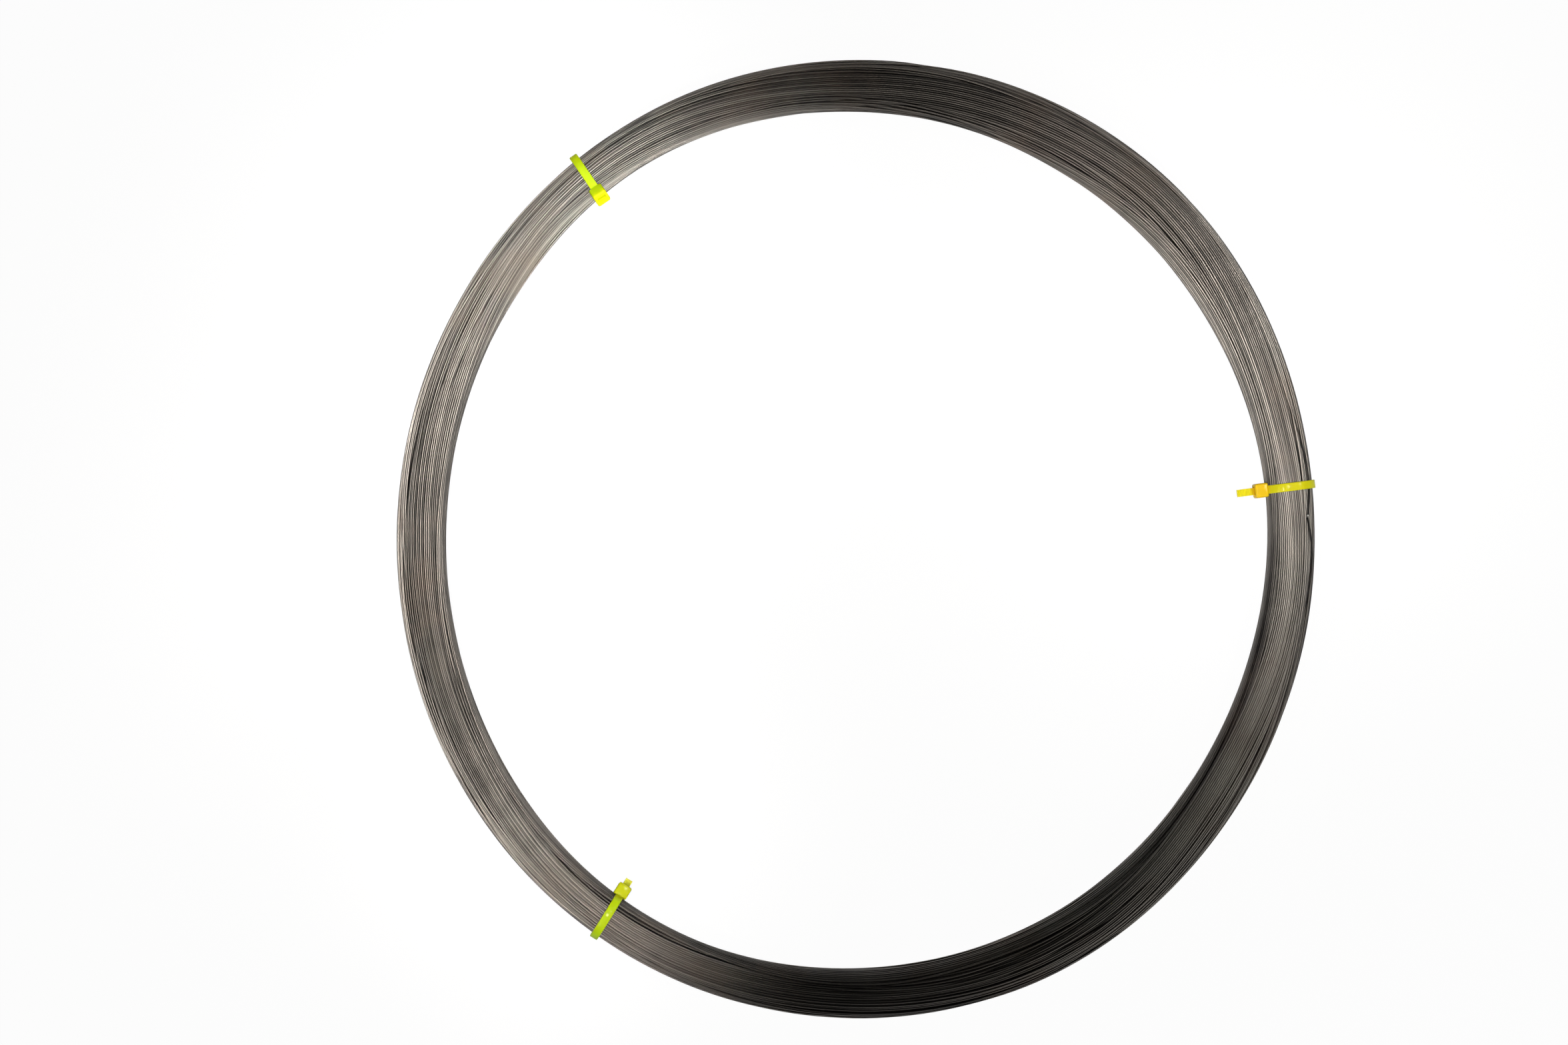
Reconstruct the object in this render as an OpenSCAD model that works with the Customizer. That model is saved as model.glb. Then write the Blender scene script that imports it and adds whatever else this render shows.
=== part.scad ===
// Coil of tungsten wire, lying flat and held by three nylon cable ties.
// The frame's origin is the centre of the coil on the floor, with +Z up and +Y along the coil's long way.
// The coil is sprung a little out of round, so its centreline is an oval of four tangent arcs.

/* [Coil] */
// Outside length of the coil, along Y
coil_length = 287.6; // [200:0.2:500]
// Outside width of the coil, along X
coil_width = 275.6; // [190:0.2:490]
// Width of the bundle of turns, along the coil's radius
bundle_w = 13.2; // [9:0.2:20]
// Height of the bundle of turns as it lies
bundle_h = 11; // [7:0.2:13]
// Diameter of the wire
wire_d = 0.6; // [0.5:0.05:1]
// Spacing of neighbouring turns as a share of the wire's diameter, under 1 so that they press together
turn_spacing = 0.95; // [0.9:0.01:0.98]
// Angle from the top that the turns show to, on the shoulders of both ends
end_spread = 30; // [10:1:35]

/* [Wire ends] */
// Length of each free end past the strap that holds it
end_lengths = [6, 18]; // [3:0.5:30]
// Angle from the top of the bundle's outer shoulder at which each free end lies
end_angles = [36, 54]; // [34:1:70]
// Depth by which a free end settles into the turns under it
end_settle = 0.06; // [0.02:0.01:0.1]

/* [Cable ties] */
// Direction from the coil's centre of curvature to each tie, anticlockwise from +X
tie_angles = [6.3, 128.9, 234.4]; // [0:0.1:360]
// Slant of each strap across the bundle
tie_slants = [1, -4.5, 3.5]; // [-5:0.5:5]
// Tilt of each head above the level, round the inner side of the bundle
head_tilts = [4, 38, -12]; // [-40:1:60]
// Length of the trimmed tail past each head
tail_lengths = [5.2, 0.6, 2]; // [0.4:0.2:30]
// Width of the strap
strap_w = 2.5; // [1.8:0.1:4.8]
// Thickness of the strap
strap_t = 0.8; // [0.7:0.1:1.6]
// Clearance between the strap and the turns
strap_gap = 0.15; // [0.1:0.05:0.3]

/* [Tie head] */
// Width of the head, across the strap
head_w = 4.3; // [3.6:0.1:8]
// Height of the head, from the bundle to the mouth of its slot
head_h = 4.2; // [3:0.1:8]
// Clearance between the head's base and the strap's inner face
head_lift = 0.2; // [0.15:0.05:0.4]
// Length of the head, along the strap
head_l = 4.8; // [3.8:0.1:9]
// Radius of the head's edges
head_r = 0.6; // [0.2:0.1:1]
// Depth of the open mouth of the slot
mouth_depth = 1.4; // [0.5:0.1:2]
// Clearance between the strap and the slot's walls
slot_gap = 0.2; // [0.1:0.05:0.4]
// Height of the space for the pawl above the strap, in the slot
pawl_space = 0.9; // [0.5:0.1:1.2]
// Width that the tail tapers to
tail_w = 2.2; // [1.6:0.1:4.4]
// Pitch of the strap's teeth
tooth_pitch = 0.8; // [0.5:0.1:1.5]
// Depth of the strap's teeth
tooth_depth = 0.25; // [0.1:0.05:0.4]
// Width of the smooth rail on each side of the teeth
rail_w = 0.35; // [0.2:0.05:0.6]

/* [Hidden] */
$fn = 64;
overlap = 0.01;

// Oval centreline: arc centres sit on a 3-4-5 triangle, so that the four arcs meet exactly on its long side
half_long = (coil_length - bundle_w) / 2;
half_short = (coil_width - bundle_w) / 2;
oval_unit = (half_long - half_short) / 2;
end_arc_offset = 3 * oval_unit;
side_arc_offset = 4 * oval_unit;
end_arc_r = half_long - end_arc_offset;
side_arc_r = half_short + side_arc_offset;
side_arc_reach = atan2(3, 4);
reach = coil_length;

// The ties' straps lie under the bundle, so the coil stands on them
bundle_z = strap_t + strap_gap + bundle_h / 2;

// Centres of the turns at the surface lie on a path one wire radius inside the bundle's outline
path_w = bundle_w - wire_d;
path_h = bundle_h - wire_d;
path_r = min(path_w, path_h) / 2;
flat_x = max(0, (bundle_w - bundle_h) / 2);
flat_z = max(0, (bundle_h - bundle_w) / 2);
turn_pitch = wire_d * turn_spacing;
turns_per_side = floor((flat_x + path_r * end_spread * PI / 180) / turn_pitch);

// Bend of the bundle's inner and outer sides, and of the strap where the head sits on it
bundle_bend = min(bundle_w, bundle_h) / 2;
strap_bend = bundle_bend + strap_gap;
slot_w = strap_w + 2 * slot_gap;
slot_h = strap_t + slot_gap + pawl_space;

function is_side(a) = abs(cos(a)) > cos(side_arc_reach);
function arc_centre(a) = is_side(a) ? [-sign(cos(a)) * side_arc_offset, 0]
                                    : [0, sign(sin(a)) * end_arc_offset];
function arc_r(a) = is_side(a) ? side_arc_r : end_arc_r;
function on_oval(a) = arc_centre(a) + arc_r(a) * [cos(a), sin(a)];

function degrees_of(length, r) = length / r * 180 / PI;

// Place of a turn on the bundle's upper end, at a distance along its surface from the middle
function end_turn(s) =
    let (lean = degrees_of(max(0, abs(s) - flat_x), path_r))
    [sign(s) * (min(abs(s), flat_x) + path_r * sin(lean)), flat_z + path_r * cos(lean)];
last_turn = end_turn(turns_per_side * turn_pitch);

// Flat-sided oval outline with fully round ends, longest along X or Y
module stadium(w, h) {
    r = min(w, h) / 2;
    side = abs(w - h) / 2;
    rotate(w < h ? 90 : 0) {
        square([2 * side, 2 * r], center = true);
        for (x = [-side, side]) translate([x, 0]) circle(r);
    }
}

module rounded_square(w, h, r) {
    square([w - 2 * r, h], center = true);
    square([w, h - 2 * r], center = true);
    for (x = [-1, 1], y = [-1, 1]) translate([x * (w / 2 - r), y * (h / 2 - r)]) circle(r);
}

// Cross-section of the bundle: smooth round sides, with the turns standing proud on both ends
module bundle_section() {
    stadium(path_w, path_h);
    intersection() {
        stadium(bundle_w, bundle_h);
        square([2 * bundle_w, 2 * last_turn[1]], center = true);
    }
    for (k = [-turns_per_side : turns_per_side], end = [-1, 1])
        translate([end_turn(k * turn_pitch)[0], end * end_turn(k * turn_pitch)[1]]) circle(d = wire_d);
}

// One arc of the oval: the section turned about the arc's own centre, kept between two meeting lines
module turned_arc(a, run) {
    intersection() {
        translate([arc_centre(a)[0], arc_centre(a)[1], 0])
            rotate_extrude() translate([arc_r(a), 0]) bundle_section();
        translate([arc_centre(a)[0], arc_centre(a)[1], -bundle_h])
            rotate(a) linear_extrude(2 * bundle_h) polygon([[0, 0], run, [run[0], -run[1]]]);
    }
}

// A free end of the wire, lying on the bundle's outer shoulder below the right-hand tie
module wire_end(i) {
    lift = bundle_bend + wire_d / 2 - end_settle;
    start = tie_angles[0] - degrees_of(strap_w / 2 + strap_gap, side_arc_r);
    sweep = degrees_of(end_lengths[i], side_arc_r);
    translate([arc_centre(start)[0], arc_centre(start)[1], 0])
        rotate(start - sweep) rotate_extrude(angle = sweep)
            translate([arc_r(start) + flat_x + lift * sin(end_angles[i]), flat_z + lift * cos(end_angles[i])])
                circle(d = wire_d);
}

module wire_coil() {
    color("#6e6a64") translate([0, 0, bundle_z]) {
        for (a = [0, 180]) turned_arc(a, reach * [4, 3]);
        for (a = [90, 270]) turned_arc(a, reach * [3, 4]);
        for (i = [0 : len(end_lengths) - 1]) wire_end(i);
    }
}

// The closed loop of strap round the bundle
module strap_loop() {
    rotate([90, 0, 0]) linear_extrude(strap_w, center = true) difference() {
        stadium(bundle_w + 2 * (strap_gap + strap_t), bundle_h + 2 * (strap_gap + strap_t));
        stadium(bundle_w + 2 * strap_gap, bundle_h + 2 * strap_gap);
    }
}

// Moulded head with round edges and an open mouth at the far end of its slot, along +X from the bundle
module tie_head() {
    difference() {
        intersection() {
            translate([strap_bend + head_lift, 0, 0]) rotate([90, 0, 90]) linear_extrude(head_h - head_lift)
                rounded_square(head_w, head_l, head_r);
            translate([strap_bend + (head_h + head_lift) / 2, 0, 0]) rotate([90, 0, 0])
                linear_extrude(head_w + 2 * overlap, center = true)
                    rounded_square(head_h - head_lift, head_l, head_r);
        }
        translate([strap_bend + head_h - mouth_depth, -slot_w / 2, -strap_t / 2 - slot_gap])
            cube([mouth_depth + overlap, slot_w, slot_h]);
    }
}

// Locking pawl that leans over the tail inside the slot
module tie_pawl() {
    rotate([90, 0, 0]) linear_extrude(slot_w - 2 * slot_gap, center = true)
        translate([strap_bend + head_h - mouth_depth, strap_t / 2])
            polygon([[-overlap, pawl_space / 2], [-overlap, -tooth_depth / 2], [mouth_depth / 2, -tooth_depth / 2],
                     [mouth_depth / 2, overlap]]);
}

// Tail of the strap, out of the slot and past the head, with its row of teeth between two smooth rails
module tie_tail(tail_length) {
    mouth = strap_bend + head_h - mouth_depth;
    first = mouth + mouth_depth / 2 + tooth_pitch / 2;
    last = mouth + mouth_depth + tail_length;
    difference() {
        translate([mouth - overlap, -tail_w / 2, -strap_t / 2]) cube([last - mouth + overlap, tail_w, strap_t]);
        for (x = [first : tooth_pitch : last - tooth_pitch])
            translate([x, 0, strap_t / 2]) rotate([90, 0, 0])
                linear_extrude(tail_w - 2 * rail_w, center = true)
                    polygon([[0, overlap], [0, -tooth_depth], [0.75 * tooth_pitch, overlap]]);
    }
}

// One tie, placed where its strap crosses the oval centreline
module cable_tie(i) {
    place = on_oval(tie_angles[i]);
    translate([place[0], place[1], bundle_z]) rotate(tie_angles[i] + tie_slants[i]) {
        strap_loop();
        translate([-flat_x, 0, 0]) rotate([0, head_tilts[i], 0]) rotate(180) {
            tie_head();
            tie_pawl();
            tie_tail(tail_lengths[i]);
        }
    }
}

module cable_tie_right() { color("#e0d428") cable_tie(0); }
module cable_tie_upper_left() { color("#dcf01e") cable_tie(1); }
module cable_tie_lower_left() { color("#bede0c") cable_tie(2); }

wire_coil();
cable_tie_right();
cable_tie_upper_left();
cable_tie_lower_left();
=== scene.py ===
# %% [markdown]
# # A coil of tungsten wire held by three cable ties
# A few hundred turns of bare 0.6 mm wire lie together as a loose bundle, sprung a little out of
# round, and three plastic cable ties keep the turns from springing apart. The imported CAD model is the
# frame: it says where the coil and the ties are, and everything made here sits in that same frame,
# in metres, with the floor at zero height.

# %% Load the frame
import math

import bmesh
import bpy
import numpy as np
from mathutils import Matrix, Vector


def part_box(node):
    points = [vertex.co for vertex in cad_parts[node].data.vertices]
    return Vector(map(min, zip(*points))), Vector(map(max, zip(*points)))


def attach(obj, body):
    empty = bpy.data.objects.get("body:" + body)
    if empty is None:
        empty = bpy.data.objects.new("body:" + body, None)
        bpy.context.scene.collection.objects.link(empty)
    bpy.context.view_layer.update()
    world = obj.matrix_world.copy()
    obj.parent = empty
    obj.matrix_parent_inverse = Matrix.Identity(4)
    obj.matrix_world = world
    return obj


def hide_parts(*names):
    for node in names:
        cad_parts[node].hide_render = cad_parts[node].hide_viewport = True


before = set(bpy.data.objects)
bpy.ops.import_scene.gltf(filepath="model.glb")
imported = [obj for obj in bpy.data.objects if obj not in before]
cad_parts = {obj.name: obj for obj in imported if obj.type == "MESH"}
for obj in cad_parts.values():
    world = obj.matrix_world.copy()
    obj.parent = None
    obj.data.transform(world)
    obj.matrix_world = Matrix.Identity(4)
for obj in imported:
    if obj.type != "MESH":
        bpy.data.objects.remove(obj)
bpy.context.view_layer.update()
MM = 0.001
scene = bpy.context.scene
scene.view_settings.view_transform = "Standard"
print("CAD nodes:", sorted(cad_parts))

# %% [markdown]
# ## Camera
# The coil is seen from straight above. A camera that looks straight down with no roll keeps +X to the
# right and +Y up in the picture. The lens follows from the camera's height and from how many
# millimetres of the floor the picture covers, so the coil comes out at its own size.

# %% Camera over the coil
IMAGE_PIXELS_WIDE = 2352
MM_PER_PIXEL = 0.2
CAMERA_HEIGHT = 900 * MM
VIEW_MIDDLE = (-21.4 * MM, 5.0 * MM)
MID_HEIGHT = 6.45 * MM

camera_data = bpy.data.cameras.new("camera")
camera_data.sensor_width = 36
camera_data.lens = camera_data.sensor_width * CAMERA_HEIGHT / (IMAGE_PIXELS_WIDE * MM_PER_PIXEL * MM)
camera_data.clip_start = 0.01
camera = bpy.data.objects.new("camera", camera_data)
camera.location = (*VIEW_MIDDLE, MID_HEIGHT + CAMERA_HEIGHT)
scene.collection.objects.link(camera)
scene.camera = camera
print(f"lens {camera_data.lens:.1f} mm")

# %% [markdown]
# ## Shader maths as Python
# Node trees are easier to read as expressions. One small class wraps a socket and turns the usual
# operators into Math nodes, and one method makes any other node from its type, its settings and the
# values or links of its sockets.


# %% A socket that can be calculated with
class Socket:
    def __init__(self, tree, output):
        self.tree, self.output = tree, output

    def node(self, kind, settings=None, **inputs):
        made = self.tree.nodes.new(kind)
        for name, value in (settings or {}).items():
            if name == "stops":
                ramp = made.color_ramp.elements
                while len(ramp) < len(value):
                    ramp.new(0.5)
                for element, (place, colour) in zip(ramp, value):
                    element.position, element.color = place, (*colour, 1.0)
            else:
                setattr(made, name, value)
        for name, value in inputs.items():
            key = int(name[1:]) if name[0] == "_" else name.replace("_", " ")
            socket = made.inputs[key]
            if isinstance(value, Socket):
                self.tree.links.new(value.output, socket)
            else:
                socket.default_value = value
        return made

    def out(self, kind, output=0, settings=None, **inputs):
        return Socket(self.tree, self.node(kind, settings, **inputs).outputs[output])

    def maths(self, operation, a, b):
        return self.out("ShaderNodeMath", 0, {"operation": operation}, _0=a, _1=b)

    def __add__(self, other):
        return self.maths("ADD", self, other)

    def __radd__(self, other):
        return self.maths("ADD", other, self)

    def __sub__(self, other):
        return self.maths("SUBTRACT", self, other)

    def __rsub__(self, other):
        return self.maths("SUBTRACT", other, self)

    def __mul__(self, other):
        return self.maths("MULTIPLY", self, other)

    def __rmul__(self, other):
        return self.maths("MULTIPLY", other, self)

    def mix(self, low, high):
        """Blend of two colours by this value."""
        return self.out(
            "ShaderNodeMix", 2, {"data_type": "RGBA"}, _0=self, _6=low, _7=high
        )

    def ramp(self, *stops):
        return self.out("ShaderNodeValToRGB", 0, {"stops": stops}, Fac=self)

    def fit(self, low, high, to_low, to_high):
        return self.out(
            "ShaderNodeMapRange", 0, None, Value=self,
            From_Min=low, From_Max=high, To_Min=to_low, To_Max=to_high,
        )


def new_material(name):
    """A material with one Principled shader, and a socket to start expressions from."""
    material = bpy.data.materials.new(name)
    material.use_nodes = True
    tree = material.node_tree
    shader = tree.nodes["Principled BSDF"]
    return material, tree, shader, Socket(tree, None)


# %% [markdown]
# ## The oval that the bundle follows
# The CAD coil is turned about four centres, two for its sides and two for its ends, on a 3-4-5
# triangle so that the arcs meet without a kink. A direction therefore names one place on the oval:
# go out from the centre of that direction's own arc. Every turn of wire is a small offset from it,
# outwards by u and upwards by w.

# %% Places along the oval
BUNDLE_W, BUNDLE_H = 13.2 * MM, 11.0 * MM
coil_low, coil_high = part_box("wire_coil")
half_short = -coil_low[0] - BUNDLE_W / 2
half_long = coil_high[1] - BUNDLE_W / 2
oval_unit = (half_long - half_short) / 2
END_OFFSET, SIDE_OFFSET = 3 * oval_unit, 4 * oval_unit
END_RADIUS, SIDE_RADIUS = half_long - END_OFFSET, half_short + SIDE_OFFSET
SIDE_COSINE = 0.8  # of the last direction on a side arc, by the triangle


def arc_of(direction):
    """Centre and radius of the arc that each direction, in radians, belongs to."""
    side = np.abs(np.cos(direction)) > SIDE_COSINE
    x = np.where(side, -np.sign(np.cos(direction)) * SIDE_OFFSET, 0.0)
    y = np.where(side, 0.0, np.sign(np.sin(direction)) * END_OFFSET)
    return x, y, np.where(side, SIDE_RADIUS, END_RADIUS)


def on_bundle(direction, u, w):
    """Points at an outward offset u and an upward offset w from the oval."""
    x, y, radius = arc_of(direction)
    x, y = x + (radius + u) * np.cos(direction), y + (radius + u) * np.sin(direction)
    return np.stack([x, y, MID_HEIGHT + w], -1)


print(f"oval {2 * half_short / MM:.1f} by {2 * half_long / MM:.1f} mm between the bundle's middles")

# %% [markdown]
# ## How wide the bundle is
# The ties pinch the bundle, and between them the springy turns spread. Width and sideways shift of
# the bundle are noted at a few directions round the coil and blended smoothly between them. The
# height can't be seen from above. It is taken to fall where the width grows, because the same turns
# then lie side by side instead of on each other.

# %% Width of the bundle round the coil
STATIONS = 120
WIRE_D = 0.6 * MM
WIRE_R = WIRE_D / 2
SEAM_DIRECTION = 2.65
BLEND_STATIONS = 3
TALLEST = 10.9 * MM
FLATTENING = 0.3  # millimetres of height lost for each millimetre of width gained
bundle_notes = (  # direction, width in mm, outward shift in mm
    (6, 12.9, -0.3), (30, 16.5, -0.2), (42, 17.2, -0.3), (52, 17.4, -1.0), (61, 17.5, -1.1),
    (72, 16.2, -0.95), (90, 15.1, -1.4), (108, 13.8, -0.6), (120, 12.5, -0.5), (129, 12.7, -0.5),
    (140, 13.2, -1.2), (150, 13.8, -1.2), (180, 14.7, -1.0), (207, 14.2, -0.6), (234, 12.7, -0.4),
    (250, 12.8, -0.3), (260, 13.8, -0.7), (270, 14.9, -1.2), (297, 16.1, -0.9), (318, 15.3, -1.5),
    (340, 15.1, -1.0),
)


def round_blend(values, reach):
    """Smooths values that close on themselves, over some stations each way."""
    span = np.arange(-2 * reach, 2 * reach + 1)
    weight = np.exp(-0.5 * (span / reach) ** 2)
    weight /= weight.sum()
    return sum(k * np.roll(values, s) for s, k in zip(span, weight))


station_direction = np.radians(SEAM_DIRECTION) + np.arange(STATIONS) * 2 * math.pi / STATIONS
noted = np.array(bundle_notes)
degrees = np.degrees(station_direction)
bundle_width, bundle_shift = (
    round_blend(np.interp(degrees, noted[:, 0], noted[:, k], period=360), BLEND_STATIONS) * MM
    for k in (1, 2)
)
bundle_height = TALLEST - FLATTENING * (bundle_width - bundle_width.min())
print(f"bundle {bundle_width.min() / MM:.1f} to {bundle_width.max() / MM:.1f} mm wide")
print(f"bundle {bundle_height.min() / MM:.1f} to {bundle_height.max() / MM:.1f} mm high")

# %% [markdown]
# ## Winding the turns
# The wire is one length, so the turns are one long path that goes round and round. Each turn drifts
# by about its own thickness along the bundle's outline, layer by layer. Neighbouring turns cling
# together in small bands, and the bands wander a little to and fro, so that they open dark gaps and
# run over each other at shallow angles. Only the three outermost layers are wound, because nothing
# deeper can be seen. The path starts on the outer shoulder beside the right-hand tie and comes back
# to end there, as the real wire's two ends do.

# %% Helpers for the path
rng = np.random.default_rng(11)
ROUNDNESS = 2.3  # 2 would be an ellipse, and more is squarer
TYPICAL_HALF = (7.2, 5.0)  # half width and half height of the section, in mm
TURN_BLEND = 15  # stations over which one turn leads to the next


def squared(way):
    """A sine or cosine, bent so that the section comes out a little squarer than an ellipse."""
    return np.sign(way) * np.abs(way) ** (2 / ROUNDNESS)


def outline_angle(share):
    """Angle round the section for a share of its outline, from the top towards the outside."""
    fine = np.linspace(0, 2 * math.pi, 721)
    u, w = TYPICAL_HALF[0] * squared(np.sin(fine)), TYPICAL_HALF[1] * squared(np.cos(fine))
    walked = np.concatenate([[0], np.cumsum(np.hypot(np.diff(u), np.diff(w)))])
    return np.interp(share % 1.0, walked / walked[-1], fine)


def ring_noise(rows, low, high):
    """Smooth random values of about unit size that close on themselves round the coil."""
    waves = np.arange(low, high)
    phase = waves * (np.arange(STATIONS) * 2 * math.pi / STATIONS)[:, None]
    values = rng.standard_normal((rows, len(waves))) @ np.cos(phase).T
    values += rng.standard_normal((rows, len(waves))) @ np.sin(phase).T
    return values / math.sqrt(len(waves))


def along_path(values):
    """One long row of values from one row for each turn, blended from turn to turn."""
    blend = np.hanning(TURN_BLEND)
    return np.convolve(values.ravel(), blend / blend.sum(), "same")


print(f"a quarter of the outline ends at {math.degrees(outline_angle(0.25)):.0f} degrees")

# %% Path of the wire through the bundle's section
OUTER_TURNS, MIDDLE_TURNS, INNER_TURNS = 68, 54, 44
LAYER_STEP = 0.55 * MM
START_ON_OUTLINE = 0.125
OUTLINE_LENGTH = 40 * MM
NEW_BAND = 0.15  # share of the turns that start a new band
TWIST, BAND_WANDER, TURN_WANDER = 1.2, 0.85, 0.16  # along the outline, in mm
BAND_RISE, TURN_RISE = 0.30, 0.07  # away from the middle, in mm
half = OUTER_TURNS // 2
runs = (  # turns, layer, start and end share of the outline
    (half, 0, 0.0, 0.5), (MIDDLE_TURNS, 1, 0.5, 1.5), (INNER_TURNS, 2, 1.5, 0.5),
    (OUTER_TURNS - half, 0, 0.5, 1.0),
)
TURNS = sum(run[0] for run in runs)
share = np.concatenate([np.linspace(a, b, n * STATIONS, endpoint=False) for n, _, a, b in runs])
layer = np.repeat([float(run[1]) for run in runs], [run[0] * STATIONS for run in runs])
band_of_turn = np.cumsum(rng.random(TURNS) < NEW_BAND)
bands = band_of_turn[-1] + 1
twist = TWIST * ring_noise(1, 1, 5)
wander = twist + BAND_WANDER * ring_noise(bands, 2, 10)[band_of_turn]
wander = wander + TURN_WANDER * ring_noise(TURNS, 4, 14)
rise = BAND_RISE * ring_noise(bands, 3, 11)[band_of_turn] + TURN_RISE * ring_noise(TURNS, 5, 18)
share = START_ON_OUTLINE + share + along_path(wander) * MM / OUTLINE_LENGTH
depth = along_path(layer * LAYER_STEP) - along_path(rise) * MM
print(f"{TURNS} turns in {bands} bands")

# %% [markdown]
# ## Letting the turns find room
# Placed that way, many turns would run through each other. Blender could simulate the wire, but so
# many turns in contact are hard to bring to rest. At each station round the coil the wires are discs
# in the bundle's section, so overlapping discs are pushed apart, discs outside the bundle are drawn
# in, and each wire is smoothed along its length because stiff wire can't kink. Some dozens of rounds
# settle the bundle, with gaps and crossings like those of a real one. Most neighbours still press
# into each other by a little, and in a few places one turn runs through another.

# %% How wires push, stay in and keep smooth
TOUCH = 1.01  # distance that wires are pushed to, in diameters
section_half = np.stack([bundle_width / 2 - WIRE_R, bundle_height / 2 - WIRE_R], -1)
angle = outline_angle(share).reshape(TURNS, STATIONS)
depth = depth.reshape(TURNS, STATIONS)
lean = np.stack([np.sin(angle), np.cos(angle)], -1)
place = squared(lean) * (section_half[None] - depth[..., None])
aim = place.copy()


def smooth_along(values, weight):
    """Pulls each point of the wire towards the middle of its neighbours."""
    flat = values.reshape(-1, 2)
    near = flat.copy()
    near[2:-2] = (-flat[:-4] + 4 * flat[1:-3] + 4 * flat[3:-1] - flat[4:]) / 6
    return ((1 - weight) * flat + weight * near).reshape(values.shape)


def push_apart(values, strength):
    """Moves overlapping wires of each station away from each other."""
    moved = values.copy()
    for s in range(STATIONS):
        at = values[:, s]
        apart = at[:, None] - at[None]
        gap = np.hypot(apart[..., 0], apart[..., 1])
        np.fill_diagonal(gap, 1.0)
        near = np.maximum(0, WIRE_D * TOUCH - gap) / np.maximum(gap, 1e-6)
        moved[:, s] += strength * 0.5 * (near[..., None] * apart).sum(1)
    return moved


def reach_of(values):
    """How far out each wire lies in the section, with 1 on the bundle's outline."""
    return (np.abs(values / section_half[None]) ** ROUNDNESS).sum(-1) ** (1 / ROUNDNESS)


def draw_in(values, slack):
    """Brings wires that stand out of the bundle back to its outline, apart from a little slack."""
    return values / np.maximum(1, reach_of(values) - slack)[..., None]


print(f"before settling, the wires reach {reach_of(place).max():.2f} of the outline")

# %% Settle the turns
ROUNDS, PUSH, STIFFNESS = 70, 0.7, 0.8
LAST_ROUNDS, LAST_PUSH, LAST_STIFFNESS = 6, 0.6, 0.35
SLACK, HOMING = 0.03, 0.02
COVER_FROM, COVER_MOST = 0.6, 1.5  # depths under the outline, in wire diameters
for step in range(ROUNDS):
    place = push_apart(place, PUSH)
    place = draw_in(place, SLACK)
    place += HOMING * (aim - place)
    place = smooth_along(place, STIFFNESS)
for step in range(LAST_ROUNDS):
    place = smooth_along(draw_in(push_apart(place, LAST_PUSH), SLACK), LAST_STIFFNESS)
deep = (1 - reach_of(place)) * section_half[:, 1] / WIRE_D
covered = np.clip(deep - COVER_FROM, 0, COVER_MOST)
spread = np.abs(place).reshape(-1, 2).max(0) / MM
print(f"section reaches {spread[0]:.2f} mm sideways and {spread[1]:.2f} mm up")

# %% [markdown]
# ## The two free ends
# Both ends lie loose on the outer shoulder, on top of the other turns. One comes from under the
# right-hand strap and stops a little below it, and the other climbs from the coil's outer edge and
# stops just short of the first.

# %% Lay the ends on top
END_STATIONS = 7
END_LIFT = 0.92  # of its middle over the middles of the outer turns, in wire diameters
END_SWING = 1.6  # stations over which an end moves across the outline
end_shares = ((0.113, 0.150), (0.108, 0.152))  # at the tip, and one station behind it
LAST = TURNS * STATIONS
fade = 0.5 + 0.5 * np.cos(np.linspace(0, math.pi, END_STATIONS))
laid = np.concatenate([place.reshape(-1, 2), place[-1:, -1]])


def lay_end(points, tip_share, next_share):
    """Lifts the last stretch of an end onto the outline's outside, from its tip inwards."""
    for step, (point, weight) in enumerate(zip(points, fade)):
        s = point % STATIONS
        at = outline_angle(np.array(tip_share + (next_share - tip_share) * min(step, END_SWING)))
        way = np.array([math.sin(at), math.cos(at)])
        spot = squared(way) * (section_half[s] + END_LIFT * WIRE_D)
        laid[point] += weight * (spot - laid[point])


lay_end(range(END_STATIONS), *end_shares[0])
lay_end(range(LAST, LAST - END_STATIONS, -1), *end_shares[1])
print("ends laid beside the right-hand tie")

# %% [markdown]
# ## A finer path and its tone
# The path so far has one point at each station, which would make the tubes look a little angular. It
# is refined between the stations and put round the oval. A slow tone goes along with it for the
# material. It differs from band to band and from turn to turn, as drawn wire does, and is darker at the
# two ends. Where a turn lies deep under others it is darker too, and that is painted shade.

# %% Fine path and its tone
FINE = 2 * STATIONS
END_GAP = 0.12  # degrees that the last end stops short of the first
TURN_TONE, DEEP_SHADE = 0.75, 4.0
DARK_END, DARK_TONE = 8, -5.0


def refine(values):
    """Adds a point between every two, on a smooth curve."""
    ends = np.concatenate([values[:1], values, values[-1:]])
    middle = (-ends[:-3] + 9 * ends[1:-2] + 9 * ends[2:-1] - ends[3:]) / 16
    fine = np.empty((2 * len(values) - 1, values.shape[1]))
    fine[0::2], fine[1::2] = values, middle
    return fine


laid[:, 0] += bundle_shift[np.arange(LAST + 1) % STATIONS]
offset = refine(laid)
direction = np.radians(SEAM_DIRECTION) + np.arange(len(offset)) * 2 * math.pi / FINE
direction[-1] -= math.radians(END_GAP)
wire_path = on_bundle(direction, offset[:, 0], offset[:, 1])
wire_tone_and_shade = along_path(TURN_TONE * ring_noise(TURNS, 0, 5) + ring_noise(bands, 0, 5)[band_of_turn])
# Turns deep under others are darkened here as painted shade.
wire_tone_and_shade -= DEEP_SHADE * covered.ravel()
wire_tone_and_shade = np.append(np.repeat(wire_tone_and_shade, 2), 0.0)
wire_tone_and_shade[:DARK_END] = wire_tone_and_shade[-DARK_END:] = DARK_TONE
print(f"{len(wire_path)} points along the wire")

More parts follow.
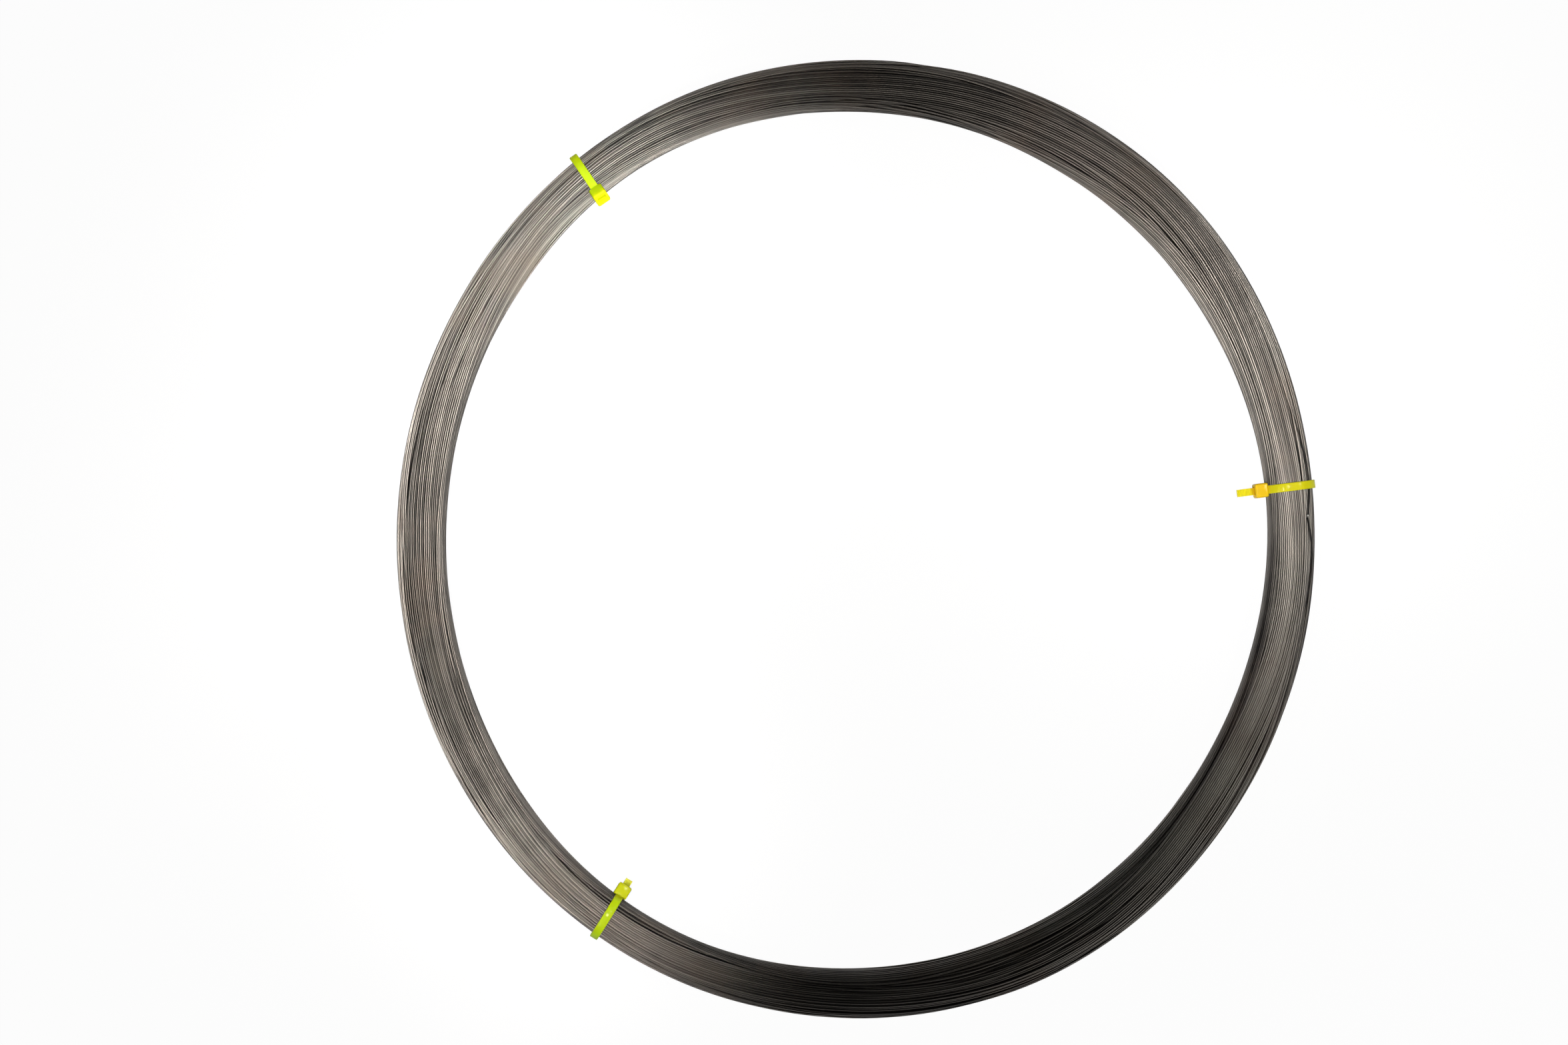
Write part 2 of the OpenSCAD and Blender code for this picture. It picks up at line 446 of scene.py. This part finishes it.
# %% [markdown]
# ## Crevices
# Where two turns touch, little light gets into the groove between them, and the wire is darkened there
# as painted shade. A node could look for such places at render time. Measured here, from each point of
# a tube to the nearest other turn at its station, they become a value on the mesh that stays with the
# model.

# %% Nearness of the next wire
SIDES = 8
CREVICE_REACH = 0.2 * MM


def crevice(mesh, first, last):
    """How close each point of a length of wire is to the next wire, from 0, open, to 1, touching."""
    at = np.empty(3 * len(mesh.vertices))
    mesh.vertices.foreach_get("co", at)
    at = at.reshape(-1, SIDES, 3) - wire_path[first:last, None]
    out = np.stack([np.cos(direction[first:last]), np.sin(direction[first:last])], -1)
    at = np.stack([(at[..., :2] * out[:, None]).sum(-1), at[..., 2]], -1) + offset[first:last, None]
    near = np.zeros(at.shape[:2])
    for column in range(FINE):
        rings = np.arange((column - first) % FINE, last - first, FINE)
        others = offset[column:-1:FINE]
        gap = np.linalg.norm(at[rings, :, None] - others, axis=-1)
        own = np.minimum((rings + first) // FINE, TURNS - 1)
        gap[np.arange(len(rings)), :, own] = 1.0
        near[rings] = np.clip(1 - (gap.min(-1) - WIRE_R) / CREVICE_REACH, 0, 1)
    return near


print(f"grooves are dark within {CREVICE_REACH / MM:.1f} mm of the next wire")

# %% [markdown]
# ## Lengths of wire
# A curve with a round bevel is the simplest wire. The path is cut into a few lengths so that no mesh
# is too heavy, and each length becomes a mesh with its ends filled. The first end was cut with
# pliers, so its cap slopes, and its face is fresh metal painted near white as a glint. A map gives
# every turn a strip of its own, which lets the material differ from turn to turn.

# %% Turn the path into wire
WIRE_PIECES = 4
BEVEL_STEPS = SIDES // 2 - 2
# Strength of the painted shade in the grooves between turns.
CREVICE_SHADE = 2.8
CUT_SLOPE = 0.9
STRIP_MARGIN = 0.1


def strip_map(mesh):
    """Gives each turn of a length of wire its own strip of the map, and says how many there are."""
    corners = np.empty(len(mesh.loops), int)
    mesh.loops.foreach_get("vertex_index", corners)
    starts = np.array([p.loop_start for p in mesh.polygons])
    sizes = np.array([p.loop_total for p in mesh.polygons])
    face = np.repeat(np.arange(len(starts)), sizes)
    ring, side = corners // SIDES, corners % SIDES
    least = np.minimum.reduceat(ring, starts)[face]
    wraps = (np.maximum.reduceat(side, starts) - np.minimum.reduceat(side, starts) > 1)[face]
    side = np.where(wraps & (side == 0), SIDES, side)
    row = least // FINE
    rows = row.max() + 1
    across = row + STRIP_MARGIN + (1 - 2 * STRIP_MARGIN) * side / SIDES
    places = np.stack([(ring - row * FINE) / FINE, across / rows], -1)
    strips = mesh.uv_layers.new(name="OFBake")
    strips.data.foreach_set("uv", places.ravel())
    return rows


def wire_piece(name, first, last):
    """The wire from one path point to another, with its tone, painted shade included, and strip map."""
    curve = bpy.data.curves.new(name, "CURVE")
    curve.dimensions, curve.twist_mode = "3D", "Z_UP"
    curve.bevel_depth, curve.bevel_resolution = WIRE_R, BEVEL_STEPS
    spline = curve.splines.new("POLY")
    spline.points.add(last - first - 1)
    spline.points.foreach_set("co", np.insert(wire_path[first:last], 3, 1.0, axis=1).ravel())
    strand = bpy.data.objects.new(name + "_curve", curve)
    scene.collection.objects.link(strand)
    depsgraph = bpy.context.evaluated_depsgraph_get()
    mesh = bpy.data.meshes.new_from_object(strand.evaluated_get(depsgraph))
    bpy.data.objects.remove(strand)
    mesh.name = name
    mesh.uv_layers.remove(mesh.uv_layers[0])
    mesh.shade_smooth()
    bm = bmesh.new()
    bm.from_mesh(mesh)
    caps = bmesh.ops.holes_fill(bm, edges=[e for e in bm.edges if e.is_boundary])["faces"]
    tip = Vector(wire_path[0])
    back = (Vector(wire_path[1]) - tip).normalized()
    for cap in caps:
        if (cap.calc_center_median() - tip).length < WIRE_R / 2:
            cap.material_index = 1
            for v in cap.verts:
                v.co += back * (v.co.z - tip.z + WIRE_R) * CUT_SLOPE
    bm.to_mesh(mesh)
    bm.free()
    tone = mesh.attributes.new("tone", "FLOAT", "POINT")
    # The grooves between turns are darkened here as painted shade.
    shades = wire_tone_and_shade[first:last, None] - CREVICE_SHADE * crevice(mesh, first, last)
    tone.data.foreach_set("value", shades.ravel().astype(np.float32))
    rows = strip_map(mesh)
    piece = bpy.data.objects.new(name, mesh)
    scene.collection.objects.link(piece)
    print(f"{name}: {rows} turns, {sum(p.loop_total - 2 for p in mesh.polygons)} triangles")
    return piece


cuts = np.linspace(0, len(wire_path) - 1, WIRE_PIECES + 1).astype(int)
wire_pieces = [
    wire_piece(f"wire_turns_{i + 1}", cuts[i], cuts[i + 1] + 1) for i in range(WIRE_PIECES)
]

# %% [markdown]
# ## The dark middle
# Between the outer turns one looks into the bundle, where there is only shadow and more wire. A plain
# ring fills that middle so that no light comes through, and its near-black colour is painted shade. It
# is spun arc by arc, as the CAD coil is.

# %% Spin the hidden middle
CORE_W, CORE_H, CORE_SIDES = 8.8 * MM, 5.2 * MM, 20
SIDE_STEPS, END_STEPS = 20, 30
PAST_START = 0.01  # radians, to be on the arc and not at its border
MERGE_DISTANCE = 1e-6


def spun_ring(name, width, height):
    """An oval ring with an elliptic section, spun about the four arc centres in turn."""
    bm = bmesh.new()
    start = -math.atan2(3, 4)
    x, y, radius = (float(v) for v in arc_of(np.array(start + PAST_START)))
    profile = bmesh.ops.create_circle(bm, segments=CORE_SIDES, radius=0.5)["verts"]
    shape = (
        Matrix.Translation((x + radius * math.cos(start), y + radius * math.sin(start), MID_HEIGHT))
        @ Matrix.Rotation(start, 4, "Z") @ Matrix.Rotation(math.radians(90), 4, "X")
        @ Matrix.Diagonal((width, height, 1, 1))
    )
    bmesh.ops.transform(bm, matrix=shape, verts=profile)
    loop = list(dict.fromkeys(e for v in profile for e in v.link_edges))
    side_turn, end_turn = 2 * math.atan2(3, 4), 2 * math.atan2(4, 3)
    for turn, steps in ((side_turn, SIDE_STEPS), (end_turn, END_STEPS)) * 2:
        x, y, _ = (float(v) for v in arc_of(np.array(start + turn / 2)))
        spun = bmesh.ops.spin(
            bm, geom=loop, cent=(x, y, 0), axis=(0, 0, 1), angle=turn, steps=steps
        )
        loop = [g for g in spun["geom_last"] if isinstance(g, bmesh.types.BMEdge)]
        start += turn
    bmesh.ops.remove_doubles(bm, verts=bm.verts, dist=MERGE_DISTANCE)
    bmesh.ops.recalc_face_normals(bm, faces=bm.faces)
    return finish_piece(bm, name)


def finish_piece(bm, name, sharp=40):
    """Turns a bmesh into a smooth-shaded object at the origin."""
    mesh = bpy.data.meshes.new(name)
    bm.to_mesh(mesh)
    bm.free()
    mesh.shade_smooth()
    mesh.set_sharp_from_angle(angle=math.radians(sharp))
    piece = bpy.data.objects.new(name, mesh)
    scene.collection.objects.link(piece)
    print(f"{name}: {len(mesh.polygons)} faces")
    return piece


core = spun_ring("coil_middle", CORE_W, CORE_H)

# %% [markdown]
# ## Bare tungsten
# Drawn tungsten is a satin, slightly warm grey metal. Its tone changes slowly along each wire, from
# bright bare metal to a thin dark film, with faint brown stains. The crevices between the turns are
# painted black as shade, and turns that lie deep under others are painted darker as shade. The tone
# that was stored along the path, painted shade included, drives the colour and the roughness. Noise
# gives the film and the stains, and noise on the strip map mottles each turn apart.

# %% Wire material
tungsten, tree, shader, start = new_material("bare_tungsten")
tone = start.out("ShaderNodeAttribute", 2, {"attribute_name": "tone"})
strip = start.out("ShaderNodeUVMap", 0, {"uv_map": "OFBake"})
patch = start.out("ShaderNodeTexCoord", "Object")
film = start.out("ShaderNodeTexNoise", Vector=patch, Scale=90.0, Detail=3.0)
stretch = (70.0, 56.0, 1.0)  # patches along a turn, and across the strips
strip = start.out("ShaderNodeVectorMath", 0, {"operation": "MULTIPLY"}, _0=strip, _1=stretch)
mottle = start.out("ShaderNodeTexNoise", Vector=strip, Scale=1.0, Detail=2.0)
bright = 0.27 + tone * 0.17 + film * 0.34 + mottle * 0.14
colour = bright.ramp(
    (0.0, (0.028, 0.027, 0.026)), (0.5, (0.215, 0.201, 0.184)), (1.0, (0.39, 0.366, 0.335))
)
blotch = start.out("ShaderNodeTexNoise", Vector=patch, Scale=45.0, Detail=4.0)
colour = blotch.fit(0.5, 0.72, 0.0, 0.5).mix(colour, (0.15, 0.113, 0.088, 1))
tree.links.new(colour.output, shader.inputs["Base Color"])
rough = 0.46 - bright * 0.08
tree.links.new(rough.output, shader.inputs["Roughness"])
shader.inputs["Metallic"].default_value = 1.0
# The cut face is fresh metal, painted near white as a glint.
cut_face_glint, _, shader, _ = new_material("cut_tungsten_glint")
shader.inputs["Base Color"].default_value = (0.95, 0.94, 0.92, 1)
shader.inputs["Metallic"].default_value = 0.5
shader.inputs["Roughness"].default_value = 0.5
for piece in wire_pieces:
    piece.data.materials.append(tungsten)
    piece.data.materials.append(cut_face_glint)

# The hidden middle's near-black colour is painted shade.
shade, tree, shader, start = new_material("tungsten_in_shade")
patch = start.out("ShaderNodeTexCoord", "Object")
grain = start.out("ShaderNodeTexNoise", Vector=patch, Scale=900.0, Detail=2.0)
dim = grain.mix((0.012, 0.012, 0.012, 1), (0.05, 0.048, 0.045, 1))
tree.links.new(dim.output, shader.inputs["Base Color"])
shader.inputs["Metallic"].default_value = 1.0
shader.inputs["Roughness"].default_value = 0.6
core.data.materials.append(shade)
print("materials:", tungsten.name, shade.name)

# %% [markdown]
# ## Cable ties
# Each tie is one moulding: a strap round the bundle, a box-shaped head with a slot, and the trimmed
# tail that comes out of the slot with its row of teeth up. The sizes are those of the CAD ties, so
# that each tie fits where its node is. Two helpers do what all its parts need: one makes a box
# between two corners, and the other rounds its edges.

# %% Sizes of a tie
STRAP_W, STRAP_T, STRAP_GAP = 2.5 * MM, 0.8 * MM, 0.15 * MM
STRAP_EDGE = 0.25 * MM
HEAD_W, HEAD_H, HEAD_L = 4.3 * MM, 4.2 * MM, 4.8 * MM
HEAD_LIFT, HEAD_EDGE = 0.2 * MM, 0.6 * MM
MOUTH_DEPTH, SLOT_GAP, PAWL_SPACE = 1.4 * MM, 0.2 * MM, 0.9 * MM
TAIL_W, TOOTH_PITCH, TOOTH_DEPTH, RAIL_W = 2.2 * MM, 0.8 * MM, 0.25 * MM, 0.35 * MM
FLAT_HALF = (BUNDLE_W - BUNDLE_H) / 2
BEND = BUNDLE_H / 2 + STRAP_GAP


def box_between(bm, low, high):
    """A box from its lowest to its highest corner."""
    verts = bmesh.ops.create_cube(bm, size=1.0)["verts"]
    size = Vector(high) - Vector(low)
    bmesh.ops.transform(
        bm, verts=verts,
        matrix=Matrix.Translation((Vector(low) + Vector(high)) / 2) @ Matrix.Diagonal((*size, 1)),
    )
    return verts


def rounded(bm, verts, radius, segments):
    """Bevels every edge of a shape."""
    edges = list(dict.fromkeys(e for v in verts for e in v.link_edges))
    bmesh.ops.bevel(
        bm, geom=edges, offset=radius, affect="EDGES", segments=segments, profile=0.5, material=-1
    )


print(f"strap bend {BEND / MM:.2f} mm")

# %% [markdown]
# ## Strap
# The strap is a flat band with rounded edges that lies straight over and under the bundle and bends
# round its sides. A closed curve could carry the band, but its bends would be only nearly round. Here
# the band's own outline is extruded along each flat and spun half a turn round each bend, and the
# last outline is merged with the first.

# %% Loop of strap
EDGE_STEPS, BEND_STEPS = 4, 20


def make_strap(bm):
    """The loop of strap: flats over and under the bundle, half-turns at its sides."""
    top = BEND + STRAP_T
    corners = [(-STRAP_W / 2, BEND), (STRAP_W / 2, BEND), (STRAP_W / 2, top), (-STRAP_W / 2, top)]
    verts = [bm.verts.new((-FLAT_HALF, y, z)) for y, z in corners]
    bm.faces.new(verts)
    bmesh.ops.bevel(
        bm, geom=verts, offset=STRAP_EDGE, affect="VERTICES", segments=EDGE_STEPS, profile=0.5,
        material=-1,
    )
    first = list(bm.faces)[0]
    loop = list(first.edges)
    bm.faces.remove(first)
    for end in (1, -1):
        out = bmesh.ops.extrude_edge_only(bm, edges=loop)["geom"]
        verts = [g for g in out if isinstance(g, bmesh.types.BMVert)]
        edges = [g for g in out if isinstance(g, bmesh.types.BMEdge)]
        loop = [e for e in edges if all(v in verts for v in e.verts)]
        bmesh.ops.translate(bm, verts=verts, vec=(end * 2 * FLAT_HALF, 0, 0))
        spun = bmesh.ops.spin(
            bm, geom=loop, cent=(end * FLAT_HALF, 0, 0), axis=(0, 1, 0), angle=math.pi,
            steps=BEND_STEPS,
        )
        loop = [g for g in spun["geom_last"] if isinstance(g, bmesh.types.BMEdge)]
    bmesh.ops.remove_doubles(bm, verts=bm.verts, dist=MERGE_DISTANCE)
    bmesh.ops.recalc_face_normals(bm, faces=bm.faces)


print(f"strap of {2 * BEND_STEPS} steps round its bends")

# %% [markdown]
# ## Head
# The head is a small box with round edges and an open slot in its front. A Boolean cut could make the
# slot, but it tends to leave long thin faces. Insetting the front face once for the rim and once for
# the slot's bevelled edge, and then pushing it in, keeps the faces simple.

# %% Head with its slot
MOUTH_RIM, MOUTH_EDGE = 0.2 * MM, 0.12 * MM
TOP = BEND + HEAD_H
MOUTH = TOP - MOUTH_DEPTH


def make_head(bm):
    """The head, along +X from the bundle, before it is turned into place."""
    before = set(bm.verts)
    verts = box_between(
        bm, (BEND + HEAD_LIFT, -HEAD_W / 2, -HEAD_L / 2), (TOP, HEAD_W / 2, HEAD_L / 2)
    )
    rounded(bm, verts, HEAD_EDGE, EDGE_STEPS)
    new = [v for v in bm.verts if v not in before]
    faces = dict.fromkeys(f for v in new for f in v.link_faces)
    front = max((f for f in faces if f.normal.x > 0.99), key=lambda f: f.calc_area())
    bmesh.ops.inset_individual(bm, faces=[front], thickness=MOUTH_RIM, use_even_offset=True)
    slot = (STRAP_W / 2 + SLOT_GAP, (STRAP_T + SLOT_GAP + PAWL_SPACE) / 2)
    middle = -STRAP_T / 2 - SLOT_GAP + slot[1]
    for v in front.verts:
        v.co.y = math.copysign(slot[0], v.co.y)
        v.co.z = middle + math.copysign(slot[1], v.co.z)
    bmesh.ops.inset_individual(bm, faces=[front], thickness=MOUTH_EDGE, depth=-MOUTH_EDGE)
    inner = bmesh.ops.extrude_face_region(bm, geom=[front])["geom"]
    bmesh.ops.translate(
        bm, verts=[g for g in inner if isinstance(g, bmesh.types.BMVert)], vec=(-MOUTH_DEPTH, 0, 0)
    )
    bmesh.ops.delete(bm, geom=[front], context="FACES")


print(f"head reaches {TOP / MM:.2f} mm from the bend's middle")

# %% [markdown]
# ## Tail and pawl
# The trimmed tail comes out of the slot with two smooth rails, a bed between them and a row of
# wedge-shaped teeth. The pawl is the small catch in the slot that leans on the teeth. Each is a box.
# The teeth and the pawl become wedges when the upper edge on one side is moved down.

# %% Tail and pawl
TAIL_ROOT, RAIL_EDGE, RAIL_STEPS = 0.3 * MM, 0.08 * MM, 2
TOOTH_ROOT, TOOTH_SPARE = 0.05 * MM, 0.2 * MM
PAWL_ROOT, PAWL_L, PAWL_H, PAWL_TIP = 0.2 * MM, 0.7 * MM, 0.45 * MM, 0.05 * MM


def make_tail(bm, tail_length):
    """Rails, bed and teeth, in line with the head's slot."""
    end = TOP + tail_length
    bed = TAIL_W / 2 - RAIL_W
    low = STRAP_T / 2 - TOOTH_DEPTH
    for side in (-1, 1):
        y = sorted((side * TAIL_W / 2, side * bed))
        rail = box_between(bm, (MOUTH - TAIL_ROOT, y[0], -STRAP_T / 2), (end, y[1], STRAP_T / 2))
        rounded(bm, rail, RAIL_EDGE, RAIL_STEPS)
    box_between(bm, (MOUTH - TAIL_ROOT, -bed, -STRAP_T / 2), (end, bed, low))
    at = MOUTH + MOUTH_DEPTH / 2
    while at + TOOTH_PITCH < end + TOOTH_SPARE:
        tooth = box_between(bm, (at, -bed, low - TOOTH_ROOT), (at + TOOTH_PITCH, bed, STRAP_T / 2))
        for v in tooth:
            if v.co.z > low and v.co.x < at + TOOTH_PITCH / 2:
                v.co.z = low
        at += TOOTH_PITCH


def make_pawl(bm):
    """The catch that leans over the tail inside the slot."""
    pawl = box_between(
        bm, (MOUTH - PAWL_ROOT, -STRAP_W / 2, STRAP_T / 2 - TOOTH_DEPTH / 2),
        (MOUTH + PAWL_L, STRAP_W / 2, STRAP_T / 2 + PAWL_H),
    )
    for v in pawl:
        if v.co.x > MOUTH and v.co.z > STRAP_T / 2:
            v.co.z = STRAP_T / 2 + PAWL_TIP


print(f"teeth every {TOOTH_PITCH / MM:.1f} mm")

# %% [markdown]
# ## Ties in place
# The three ties differ only in where they sit, how their strap slants, how far the head has turned
# round the bundle and how much tail was left on. Each is made at the origin and moved to its place on
# the oval in its mesh, so that the object itself stays unmoved. How far a point lies towards the
# inside of the coil is stored first, for the colour.

# %% Make the three ties
TIE_SPAN = 32.4 * MM  # the stored value comes to about 1 at the tip of the longest tail
TIE_SHARP = 35
ties = {  # node: direction, slant and head tilt in degrees, tail length in mm
    "cable_tie_right": (6.3, 1, 4, 5.2),
    "cable_tie_upper_left": (128.9, -4.5, 38, 0.6),
    "cable_tie_lower_left": (234.4, 3.5, -12, 2.0),
}


def make_tie(node):
    """One tie where its CAD node is."""
    direction, slant, tilt, tail_length = ties[node]
    spot = on_bundle(np.radians(direction), 0.0, 0.0)
    bm = bmesh.new()
    make_strap(bm)
    strap = set(bm.verts)
    make_head(bm)
    make_tail(bm, tail_length * MM)
    make_pawl(bm)
    turn = (
        Matrix.Translation((-FLAT_HALF, 0, 0)) @ Matrix.Rotation(math.radians(tilt), 4, "Y")
        @ Matrix.Rotation(math.pi, 4, "Z")
    )
    bmesh.ops.transform(bm, matrix=turn, verts=[v for v in bm.verts if v not in strap])
    inward = bm.verts.layers.float.new("inward")
    for v in bm.verts:
        v[inward] = 0.5 - v.co.x / TIE_SPAN
    across = Matrix.Translation(spot) @ Matrix.Rotation(math.radians(direction + slant), 4, "Z")
    bmesh.ops.transform(bm, matrix=across, verts=bm.verts)
    return finish_piece(bm, node + "_moulding", TIE_SHARP)


tie_pieces = {node: make_tie(node) for node in ties}

# %% [markdown]
# ## Coloured nylon
# The ties are moulded in fluorescent yellows, each a little different. Nylon glows softly because
# light goes into it, and its skin has a faint unevenness that breaks up the shine. The yellow isn't
# the same from end to end, so a ramp along the stored value gives each stretch its own, from the
# strap's outer bend over the head to the tail, with a little cloud so that no border shows. Part of
# that change is the nylon's own and part is painted light and shade.

# %% Tie materials
CLOUDING = 0.06


def nylon(name, shine, outer, middle, inner, head, tail):
    """Moulded nylon whose colour, with painted light and shade in it, shifts from the strap's outer end
    to the head and the tail.
    """
    material, tree, shader, start = new_material(name)
    patch = start.out("ShaderNodeTexCoord", "Object")
    inward = start.out("ShaderNodeAttribute", 2, {"attribute_name": "inward"})
    cloud = start.out("ShaderNodeTexNoise", Vector=patch, Scale=300.0, Detail=3.0)
    colour = (inward + cloud * CLOUDING - CLOUDING / 2).ramp(
        (0.27, outer), (0.40, middle), (0.58, middle), (0.69, inner),
        (0.73, head), (0.83, head), (0.88, tail),
    )
    tree.links.new(colour.output, shader.inputs["Base Color"])
    skin = start.out("ShaderNodeTexNoise", Vector=patch, Scale=2200.0, Detail=2.0)
    tree.links.new((0.50 + skin * 0.14).output, shader.inputs["Roughness"])
    bump = start.node("ShaderNodeBump", Strength=0.08, Distance=0.00005, Height=skin)
    tree.links.new(bump.outputs[0], shader.inputs["Normal"])
    shader.inputs["Specular IOR Level"].default_value = 0.15
    shader.inputs["Coat Weight"].default_value = shine
    shader.inputs["Coat Roughness"].default_value = 0.05
    shader.inputs["Subsurface Weight"].default_value = 0.2
    shader.inputs["Subsurface Radius"].default_value = (1.0, 0.9, 0.1)
    shader.inputs["Subsurface Scale"].default_value = 0.0008
    return material


# The stop colours of each tie are partly its own yellow and partly painted light and shade.
finishes = {
    "cable_tie_right": ("tie_yellow", nylon(
        "yellow_nylon", 0.2, outer=(0.96, 0.96, 0.008), middle=(0.76, 0.72, 0.006),
        inner=(0.72, 0.70, 0.006), head=(0.94, 0.62, 0.010), tail=(0.97, 0.88, 0.020),
    )),
    "cable_tie_upper_left": ("tie_lime", nylon(
        "lime_nylon", 0.0, outer=(0.80, 0.97, 0.004), middle=(0.52, 0.70, 0.003),
        inner=(0.60, 0.78, 0.003), head=(0.95, 0.97, 0.004), tail=(0.95, 0.97, 0.004),
    )),
    "cable_tie_lower_left": ("tie_green", nylon(
        "green_nylon", 0.2, outer=(0.51, 0.78, 0.003), middle=(0.56, 0.77, 0.002),
        inner=(0.70, 0.97, 0.003), head=(0.66, 0.72, 0.003), tail=(0.96, 0.97, 0.100),
    )),
}
for node, (_, material) in finishes.items():
    tie_pieces[node].data.materials.append(material)
print("nylon:", [material.name for _, material in finishes.values()])

# %% [markdown]
# ## Floor
# The floor is a plain white sweep. Lit brightly enough to look white, it would throw too much light
# back at the coil. So only the rays of the camera, of reflections and of clear materials see a white
# glow, and for all other light it is a dark floor that still takes the coil's shadow.

# %% White floor
FLOOR_HALF = 3.0
bm = bmesh.new()
bmesh.ops.create_grid(bm, x_segments=1, y_segments=1, size=FLOOR_HALF)
floor = finish_piece(bm, "floor")
paper, tree, shader, start = new_material("white_paper")
tree.nodes.remove(shader)
diffuse = start.node("ShaderNodeBsdfDiffuse", Color=(0.06, 0.06, 0.06, 1))
glow = start.node("ShaderNodeEmission", Color=(1, 1, 1, 1), Strength=0.97)
both = start.node("ShaderNodeAddShader")
path = start.node("ShaderNodeLightPath").outputs
rays = ("Is Camera Ray", "Is Glossy Ray", "Is Transmission Ray")
camera_ray, glossy_ray, clear_ray = (Socket(tree, path[name]) for name in rays)
shown = start.maths("MAXIMUM", start.maths("MAXIMUM", camera_ray, glossy_ray), clear_ray)
choose = start.node("ShaderNodeMixShader", Fac=shown)
tree.links.new(diffuse.outputs[0], both.inputs[0])
tree.links.new(glow.outputs[0], both.inputs[1])
tree.links.new(diffuse.outputs[0], choose.inputs[1])
tree.links.new(both.outputs[0], choose.inputs[2])
tree.links.new(choose.outputs[0], tree.nodes["Material Output"].inputs["Surface"])
floor.data.materials.append(paper)

# %% [markdown]
# ## World and lamps
# Wire shines only where light falls across it, so one lamp would leave most of the coil black. A fan
# of small soft lamps stands over each stretch that is bright on the real coil, some across the coil
# and some outside it, all aimed at that stretch. Two low boxes lift the dark stretch at the lower
# right a little, and a faint world fills the rest.

# %% World and lamps
ROOM_COLOUR = (0.02, 0.02, 0.021, 1)
world = bpy.data.worlds.new("room")
scene.world = world
world.use_nodes = True
room_light = world.node_tree.nodes["Background"].inputs
room_light["Color"].default_value = ROOM_COLOUR
room_light["Strength"].default_value = 1.0


def soft_box(name, azimuth, reach, height, aim, size, power, spread, tint):
    """A square lamp at an azimuth, that faces the floor at another distance on the same azimuth."""
    lamp = bpy.data.lights.new(name, "AREA")
    lamp.size, lamp.energy, lamp.spread, lamp.color = size, power, math.radians(spread), tint
    holder = bpy.data.objects.new(name, lamp)
    way = Vector((math.cos(math.radians(azimuth)), math.sin(math.radians(azimuth)), 0))
    holder.location = way * reach + Vector((0, 0, height))
    holder.rotation_euler = (way * aim - holder.location).to_track_quat("-Z", "Y").to_euler()
    scene.collection.objects.link(holder)
    return holder


WARM, PALE = (1.0, 0.935, 0.88), (1.0, 0.995, 0.945)
ACROSS = ((-0.36, 0.36), (-0.12, 0.53))  # reach and height of the lamps across the coil
OUTSIDE = ((0.13, 0.58), (0.40, 0.49))  # and of those over the stretch and outside it
COIL_REACH = 0.127
LOW_REACH, LOW_HEIGHT, LOW_SIZE, LOW_SPREAD = 0.59, 0.275, 0.28, 140
fans = (  # azimuth of the lit stretch, power from across and from outside, size, spread, tint
    (12, 0.0, 0.013, 0.14, 14, PALE),
    (24, 0.046, 0.020, 0.14, 18, WARM),
    (54, 0.011, 0.007, 0.14, 18, WARM),
    (133, 0.048, 0.019, 0.11, 14, PALE),
    (173, 0.0, 0.064, 0.14, 18, WARM),
    (203, 0.005, 0.013, 0.14, 18, WARM),
    (227, 0.007, 0.017, 0.09, 9, WARM),
)
low_boxes = ((330, 0.18), (300, 0.11))  # azimuth and power
lamps = []
for azimuth, inside, outside, size, spread, tint in fans:
    for power, spots in ((inside, ACROSS), (outside, OUTSIDE)):
        for reach, height in spots if power else ():
            name = f"fan_{azimuth}_{len(lamps)}"
            stand = (azimuth, reach, height, COIL_REACH)
            lamps.append(soft_box(name, *stand, size, power / len(spots), spread, tint))
for azimuth, power in low_boxes:
    stand = (azimuth, LOW_REACH, LOW_HEIGHT, 0.0)
    lamps.append(soft_box(f"low_box_{azimuth}", *stand, LOW_SIZE, power, LOW_SPREAD, PALE))
print("lamps:", [lamp.name for lamp in lamps])

# %% [markdown]
# ## Joining the frame
# Every piece rides on the one body and stands for its CAD node.

# %% Ride and replace
for piece in wire_pieces + [core]:
    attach(piece, "root")
    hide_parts("wire_coil")
for node, piece in tie_pieces.items():
    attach(piece, "root")
    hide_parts(node)
